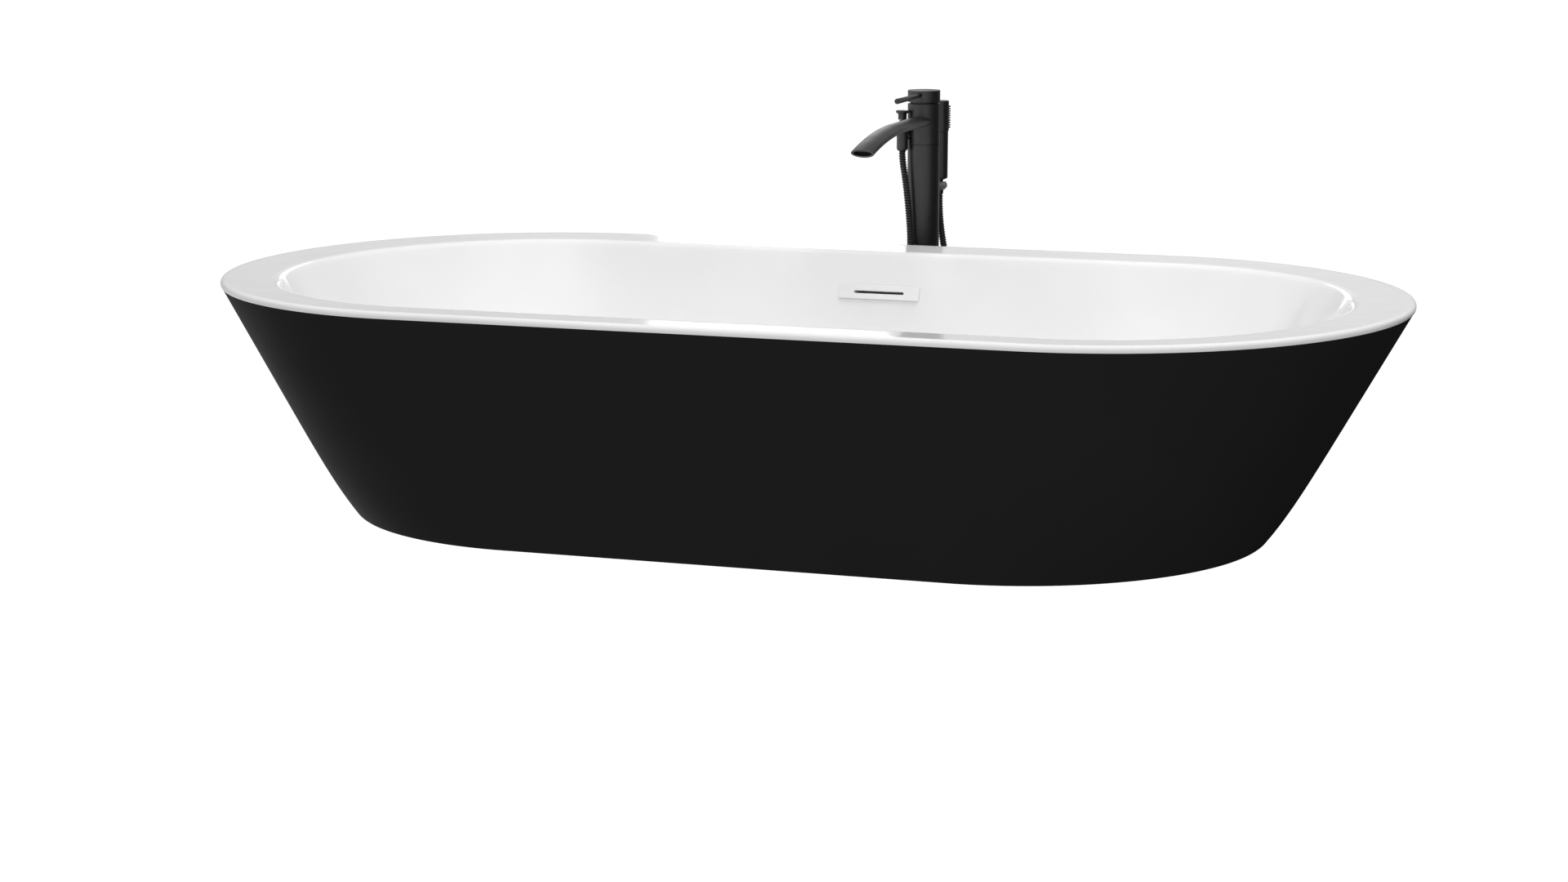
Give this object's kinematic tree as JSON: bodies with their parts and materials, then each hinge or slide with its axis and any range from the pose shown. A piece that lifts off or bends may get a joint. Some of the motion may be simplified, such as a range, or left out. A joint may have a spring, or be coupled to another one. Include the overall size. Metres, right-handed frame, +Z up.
{
  "type": "freestanding bathtub",
  "caption": "Wide oval freestanding bathtub with a tapered dark skirt, slot overflow, pull-up drain plug and a floor-standing column filler with lever mixer, diverter and hand shower.",
  "frame": {"origin": "middle of the tub's oval foot, on the floor", "axes": "+X along the tub's length, +Y across the tub towards the floor-standing filler, +Z up"},
  "size_m": [2, 1.3053, 0.659],
  "materials": {
    "white_acrylic": "glossy",
    "glass_fibre_laminate": "rough",
    "black_skirt": "satin",
    "grey_sealant": "matte",
    "birch_board": "sawn",
    "galvanised_steel": "galvanised",
    "zinc_steel": "zinc plated",
    "foot_rubber": "matte",
    "white_trim": "glossy",
    "waste_plastic": "smooth",
    "seal_rubber": "matte",
    "stainless": "machined",
    "black_metal": "satin",
    "copper_pipe": "drawn copper",
    "cartridge_plastic": "moulded",
    "brass": "machined",
    "dark_plastic": "moulded",
    "nub_rubber": "matte",
    "black_plastic": "satin",
    "hose_black": "ribbed, satin"
  },
  "bodies": {
    "tub_and_filler": {"aerator": "dark_plastic", "base_board": "birch_board", "base_cover": "black_metal", "basin_laminate": "glass_fibre_laminate", "basin_shell": "white_acrylic", "bonnet_nut": "black_metal", "bonnet_seal": "seal_rubber", "column_tube": "black_metal", "cradle_screw": "stainless", "diverter_body": "black_metal", "drain_body": "waste_plastic", "drain_flange": "white_trim", "drain_gasket": "seal_rubber", "drain_lock_nut": "waste_plastic", "floor_plate": "stainless", "foot_lock_nuts": "zinc_steel", "foot_pads": "foot_rubber", "foot_studs": "zinc_steel", "foot_weld_nuts": "zinc_steel", "frame_crossbars": "galvanised_steel", "front_rail": "galvanised_steel", "handset_cradle": "black_plastic", "hose_top_nut": "brass", "mixer_cartridge": "cartridge_plastic", "outer_skirt": "black_skirt", "overflow_body": "waste_plastic", "overflow_gasket": "seal_rubber", "overflow_pipe": "waste_plastic", "overflow_plate": "white_trim", "rear_rails": "galvanised_steel", "rim_adhesive_bead": "grey_sealant", "shower_hose": "hose_black", "spout": "black_metal", "supply_pipe_cold": "copper_pipe", "supply_pipe_hot": "copper_pipe", "tailpiece": "waste_plastic", "valve_body": "black_metal"},
    "mixer_swivel": {"mixer_carrier": "brass", "tilt_pin": "stainless"},
    "mixer_handle": {"mixer_cap": "black_metal", "cap_grub_screw": "stainless", "mixer_lever": "black_metal"},
    "diverter_pull": {"diverter_knob": "black_metal", "diverter_stem": "stainless", "diverter_plunger": "seal_rubber"},
    "handset": {"handset_handle": "black_metal", "spray_head": "black_metal", "spray_nubs": "nub_rubber", "head_seal": "seal_rubber", "handset_cone_nut": "black_metal", "hose_washer": "seal_rubber"},
    "drain_plug": {"drain_stopper": "white_trim", "stopper_seal": "seal_rubber", "stopper_stem": "stainless"}
  },
  "joints": [
    {"name": "mixer_turn", "type": "hinge", "parent": "tub_and_filler", "child": "mixer_swivel", "pos_m": [0, 0.7, 0.6415], "axis": [0, 0, 1], "range_deg": [-45, 45]},
    {"name": "mixer_tilt", "type": "hinge", "parent": "mixer_swivel", "child": "mixer_handle", "pos_m": [0, 0.7, 0.6415], "axis": [-1, 0, 0], "range_deg": [0, 6]},
    {"name": "diverter_lift", "type": "slide", "parent": "tub_and_filler", "child": "diverter_pull", "axis": [0, 0, 1], "range_m": [0, 0.008]},
    {"name": "handset_lift", "type": "slide", "parent": "tub_and_filler", "child": "handset", "axis": [0, 0, 1], "range_m": [0, 0.05]},
    {"name": "plug_lift", "type": "slide", "parent": "tub_and_filler", "child": "drain_plug", "axis": [0, 0, 1], "range_m": [0, 0.008]}
  ]
}
